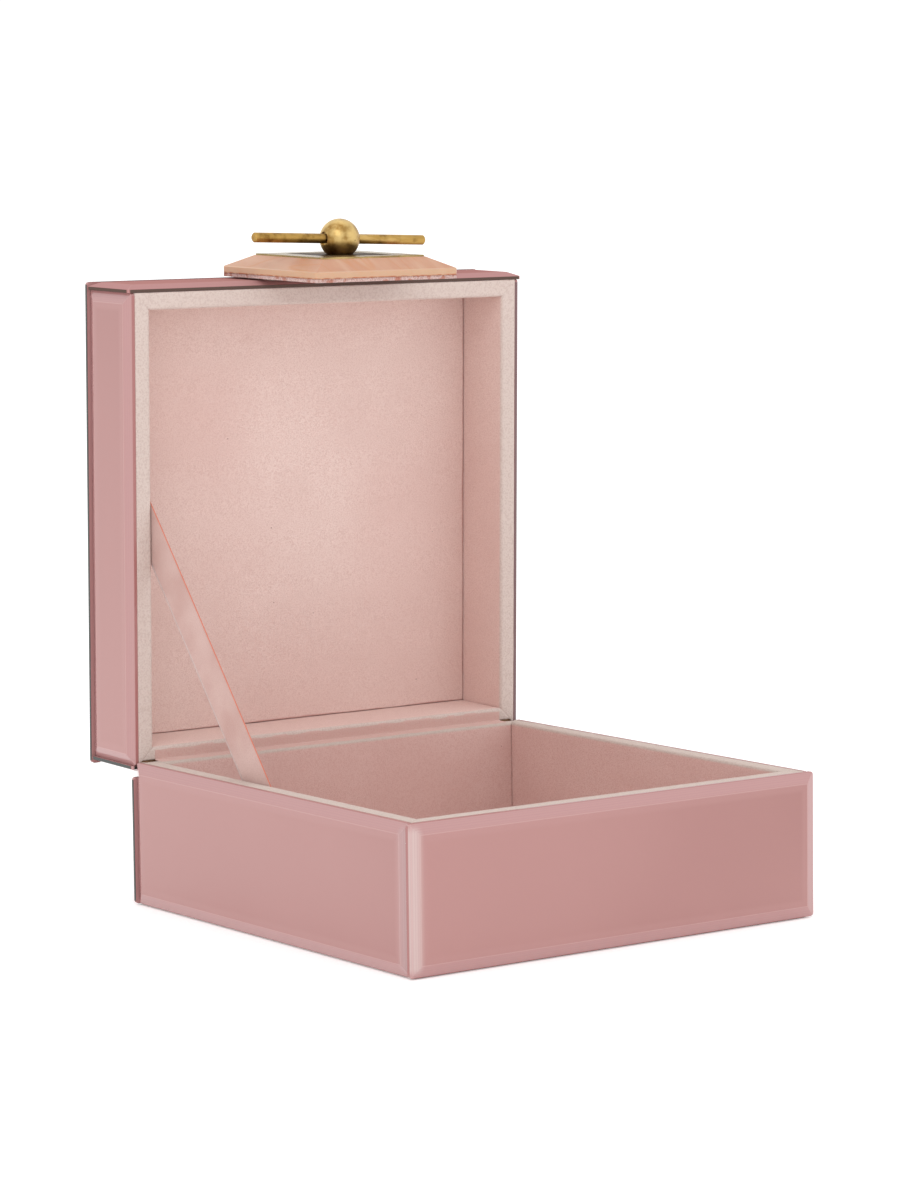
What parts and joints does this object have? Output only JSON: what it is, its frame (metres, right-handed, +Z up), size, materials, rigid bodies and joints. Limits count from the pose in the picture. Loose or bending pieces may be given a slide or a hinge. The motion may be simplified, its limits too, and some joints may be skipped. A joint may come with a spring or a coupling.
{
  "type": "jewelry box",
  "caption": "Square jewelry box with a velvet-lined hinged lid, bevelled painted-glass panels and a stone plate handle carrying a brass ball and bar.",
  "frame": {"origin": "middle of the underside, on the surface the box stands on", "axes": "+X to the right along the lid hinge, +Y to the back, +Z up"},
  "size_m": [0.203, 0.239, 0.2863],
  "materials": {
    "painted_glass": "clear bevelled glass painted pink on the back",
    "board": "plain fibreboard",
    "velvet": "short pink velvet",
    "felt": "dull felt",
    "ribbon": "soft velvet ribbon",
    "suede": "suede cloth",
    "bond": "dull adhesive foam",
    "stone": "polished peach stone",
    "brass": "aged, brushed",
    "dark_brass": "darkened",
    "hinge_brass": "satin",
    "steel": "plain"
  },
  "bodies": {
    "base": {"base_back_board": "board", "base_back_glass": "painted_glass", "base_back_lining": "velvet", "base_bottom_board": "board", "base_floor_pad": "velvet", "base_front_board": "board", "base_front_glass": "painted_glass", "base_front_lining": "velvet", "base_left_board": "board", "base_left_glass": "painted_glass", "base_left_lining": "velvet", "base_right_board": "board", "base_right_glass": "painted_glass", "base_right_lining": "velvet", "hinge_base_leaf": "hinge_brass", "hinge_base_screws": "hinge_brass", "hinge_pin": "steel", "ribbon_stay": "ribbon", "underside_felt": "felt"},
    "lid": {"handle_ball": "brass", "handle_bar": "brass", "handle_bond_pad": "bond", "handle_brass_frame": "brass", "handle_brass_seat": "dark_brass", "handle_stone_plate": "stone", "handle_stud": "steel", "handle_suede_backing": "suede", "hinge_lid_leaf": "hinge_brass", "hinge_lid_screws": "hinge_brass", "lid_back_board": "board", "lid_back_glass": "painted_glass", "lid_back_lining": "velvet", "lid_ceiling_pad": "velvet", "lid_front_board": "board", "lid_front_glass": "painted_glass", "lid_front_lining": "velvet", "lid_left_board": "board", "lid_left_glass": "painted_glass", "lid_left_lining": "velvet", "lid_right_board": "board", "lid_right_glass": "painted_glass", "lid_right_lining": "velvet", "lid_top_board": "board", "lid_top_glass": "painted_glass"}
  },
  "joints": [
    {"name": "lid_hinge", "type": "hinge", "parent": "base", "child": "lid", "pos_m": [0, 0.0987, 0.0595], "axis": [1, 0, 0], "range_deg": [0, 88.7], "deforming": ["ribbon_stay"]}
  ]
}
